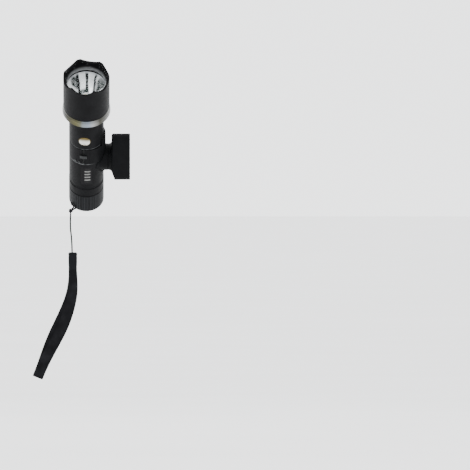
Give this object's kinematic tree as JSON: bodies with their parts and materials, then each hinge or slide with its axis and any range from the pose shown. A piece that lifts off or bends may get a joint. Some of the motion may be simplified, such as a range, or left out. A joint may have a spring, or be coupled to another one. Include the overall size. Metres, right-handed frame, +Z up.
{
  "type": "helmet flashlight",
  "caption": "Side-switch flashlight in a band clamp on a swivelling helmet bracket, with a crown bezel, a bright trim ring and a wrist strap on its tail.",
  "frame": {"origin": "centre of the bracket's flat back face, on the swivel axis", "axes": "+X out of the back face to the helmet, +Y to the wearer's rear, +Z up"},
  "size_m": [0.0762, 0.133, 0.2491],
  "materials": {
    "black_plastic": "fine moulded texture",
    "band_plastic": "satin",
    "white_plastic": "satin",
    "switch_plastic": "satin",
    "rubber": "matte",
    "steel": "satin",
    "dark_steel": "satin, blackened",
    "black_anodised": "satin black anodising",
    "champagne_metal": "satin, warm tint",
    "plain_aluminium": "turned",
    "button_metal": "satin",
    "mirror": "polished",
    "lens_glass": "polished",
    "white_board": "white mask",
    "emitter_yellow": "phosphor under clear silicone",
    "lead_wire": "insulation",
    "green_board": "solder mask",
    "gold_contact": "plated",
    "cell_wrap": "printed film over a steel can",
    "label": "dull film",
    "lanyard_cord": "braided",
    "webbing": "woven",
    "sleeve_plastic": "satin"
  },
  "bodies": {
    "bracket": {"bracket_housing": "black_plastic", "bracket_plate": "black_plastic", "plate_screws": "steel", "friction_washer": "switch_plastic"},
    "clamp": {"clamp_cradle": "black_plastic", "clamp_band": "band_plastic", "clamp_liner": "rubber", "band_catch": "dark_steel", "band_rivets": "dark_steel", "swivel_bolt": "steel", "spring_washer": "steel", "swivel_nut": "steel"},
    "torch": {"battery_tube": "black_anodised", "label_plate": "label", "switch_housing": "black_anodised", "trim_ring": "champagne_metal", "head_bezel": "black_anodised", "reflector": "mirror", "lens": "lens_glass", "lens_gasket": "rubber", "emitter_board": "white_board", "emitter": "emitter_yellow", "centring_ring": "white_plastic", "heat_sink": "plain_aluminium", "emitter_leads": "lead_wire", "driver_board": "green_board", "driver_spring": "gold_contact", "switch_ring": "champagne_metal", "switch_boot": "rubber", "switch_body": "switch_plastic", "switch_board": "green_board", "battery_cell": "cell_wrap", "cell_button": "steel"},
    "side_button": {"switch_button": "button_metal", "switch_plunger": "white_plastic"},
    "tail_contact": {"tail_board": "green_board", "tail_spring": "gold_contact"},
    "tail": {"tail_cap": "black_anodised", "tail_retainer": "plain_aluminium", "lanyard_loop": "lanyard_cord"},
    "lanyard": {"lanyard_knot": "lanyard_cord", "lanyard_cord": "lanyard_cord", "lanyard_sleeve": "sleeve_plastic", "lanyard_strap": "webbing"}
  },
  "joints": [
    {"name": "tilt", "type": "hinge", "parent": "bracket", "child": "clamp", "pos_m": [0, 0, 0], "axis": [1, 0, 0], "range_deg": [-50, 70]},
    {"name": "torch_turn", "type": "hinge", "parent": "clamp", "child": "torch", "pos_m": [-0.034, 0, 0], "axis": [0, -0.766, 0.6428], "continuous": true},
    {"name": "button_press", "type": "slide", "parent": "torch", "child": "side_button", "axis": [0.1045, 0.6393, 0.7618], "range_m": [0, 0.0008], "stiffness_N_per_m": 2500},
    {"name": "tail_travel", "type": "slide", "parent": "torch", "child": "tail_contact", "axis": [0, 0.766, -0.6428], "range_m": [0, 0.003]},
    {"name": "tail_turn", "type": "hinge", "parent": "tail_contact", "child": "tail", "pos_m": [-0.034, 0, 0], "axis": [0, 0.766, -0.6428], "range_deg": [0, 1080]},
    {"name": "lanyard_swing", "type": "hinge", "parent": "tail", "child": "lanyard", "pos_m": [-0.0463, 0.035, -0.0424], "axis": [1, 0, 0], "range_deg": [-60, 60]}
  ],
  "couplings": [
    {"joint": "tail_travel", "follows": "tail_turn", "m_per_rad": 0.00015915}
  ]
}
